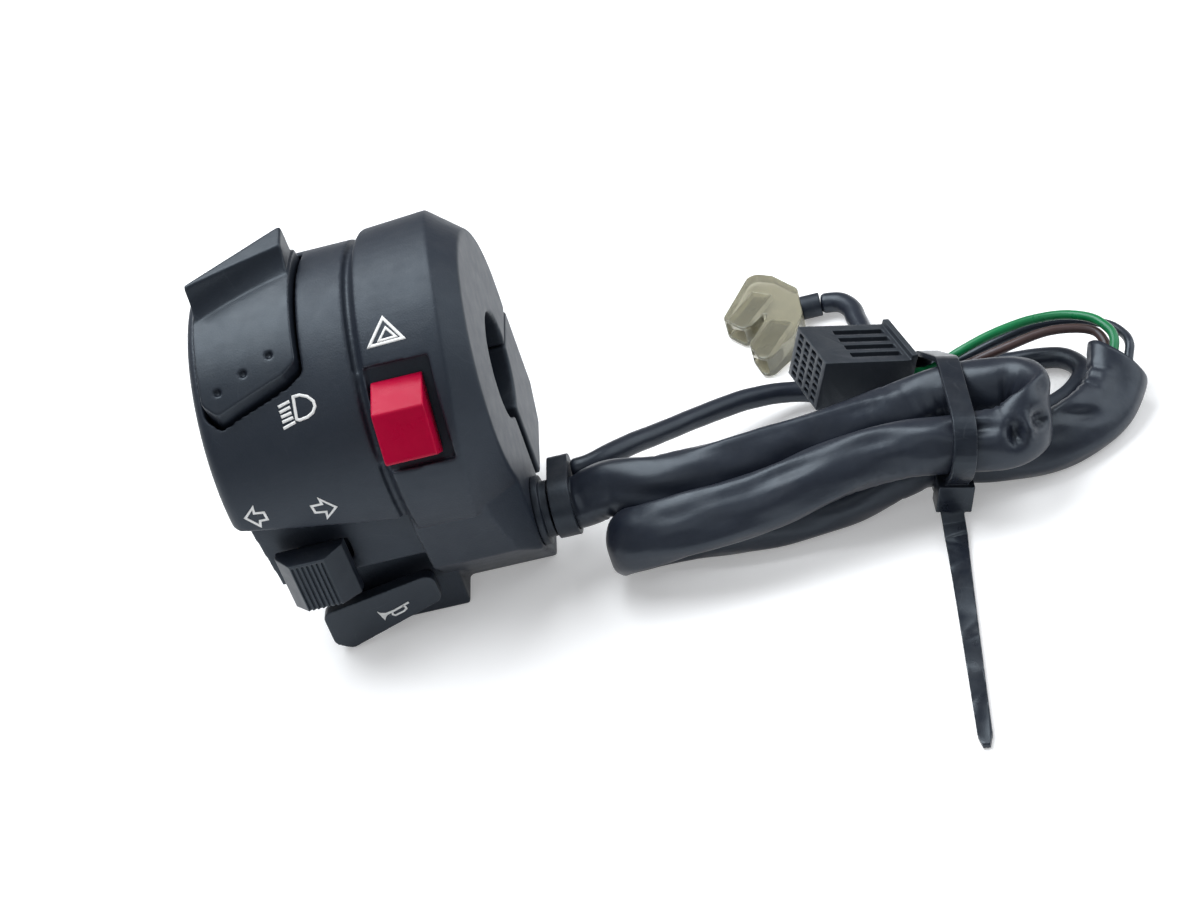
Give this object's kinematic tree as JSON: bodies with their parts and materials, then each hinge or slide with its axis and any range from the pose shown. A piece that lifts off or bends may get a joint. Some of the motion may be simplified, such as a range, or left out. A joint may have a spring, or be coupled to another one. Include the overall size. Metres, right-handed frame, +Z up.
{
  "type": "motorcycle handlebar switch cluster",
  "caption": "Left-hand handlebar switch housing that clamps round the bar, with beam rocker, hazard slider, turn slider, horn paddle and its wiring harness folded and held by a cable tie.",
  "frame": {"origin": "on the handlebar axis, in the middle of the switch housing", "axes": "+X along the handlebar towards the end the harness leaves from, -Y towards the rider, +Z up"},
  "size_m": [0.1828, 0.1555, 0.0815],
  "materials": {
    "black_shell": "fine moulded grain, satin",
    "black_switch": "moulded, handled to a slight polish",
    "red_knob": "moulded red, semi-gloss",
    "zinc_steel": "zinc plated",
    "contact_board": "paper laminate board",
    "contact_copper": "stamped copper strip",
    "contact_brass": "stamped brass",
    "black_rubber": "moulded rubber",
    "sleeve_pvc": "soft PVC tube, semi-gloss",
    "clear_boot": "translucent soft PVC, yellowed",
    "connector_plastic": "moulded nylon",
    "green_wire": "PVC wire insulation",
    "brown_wire": "PVC wire insulation",
    "tie_nylon": "black nylon"
  },
  "bodies": {
    "housing": {"front_housing": "black_shell", "rear_clamp": "black_shell", "clamp_screws": "zinc_steel", "beam_pivot_pin": "zinc_steel", "beam_base": "contact_board", "hazard_base": "contact_board", "turn_base": "contact_board", "horn_base": "contact_board", "horn_contact": "contact_copper", "horn_spring": "zinc_steel", "contact_studs": "contact_brass", "module_screws": "zinc_steel", "inner_loom": "brown_wire", "cable_grommet": "black_rubber", "grommet_tie": "black_rubber", "harness_sleeve": "sleeve_pvc", "clutch_lead": "sleeve_pvc", "lead_sleeve": "black_rubber", "terminal_boots": "clear_boot", "blade_terminals": "contact_brass", "connector_body": "connector_plastic", "connector_terminals": "contact_brass", "green_wire": "green_wire", "brown_wire": "brown_wire", "dark_wire": "sleeve_pvc", "bundle_tie": "tie_nylon"},
    "rocker": {"beam_rocker": "black_switch", "beam_contact": "contact_copper", "beam_detent_spring": "zinc_steel", "beam_detent_ball": "zinc_steel"},
    "hazard": {"hazard_knob": "red_knob", "hazard_slider": "black_switch", "hazard_contact": "contact_copper"},
    "turn_slide": {"turn_slider": "black_switch", "turn_contact": "contact_copper", "turn_spring": "zinc_steel"},
    "turn_push": {"turn_knob": "black_switch"},
    "horn": {"horn_button": "black_switch"}
  },
  "joints": [
    {"name": "beam_rock", "type": "hinge", "parent": "housing", "child": "rocker", "pos_m": [0, -0.00634, 0.02211], "axis": [1, 0, 0], "range_deg": [-6, 6]},
    {"name": "hazard_slide", "type": "slide", "parent": "housing", "child": "hazard", "axis": [0, 0.454, 0.891], "range_m": [0, 0.0026]},
    {"name": "turn_shift", "type": "slide", "parent": "housing", "child": "turn_slide", "axis": [1, 0, 0], "range_m": [-0.0035, 0.0035]},
    {"name": "turn_cancel_push", "type": "slide", "parent": "turn_slide", "child": "turn_push", "axis": [0, 1, 0], "range_m": [0, 0.0012], "stiffness_N_per_m": 800, "springref_m": -0.001, "deforming": ["turn_spring"]},
    {"name": "horn_press", "type": "slide", "parent": "housing", "child": "horn", "axis": [0, 1, 0], "range_m": [0, 0.0022], "stiffness_N_per_m": 900, "springref_m": -0.0015, "deforming": ["horn_spring"]}
  ]
}
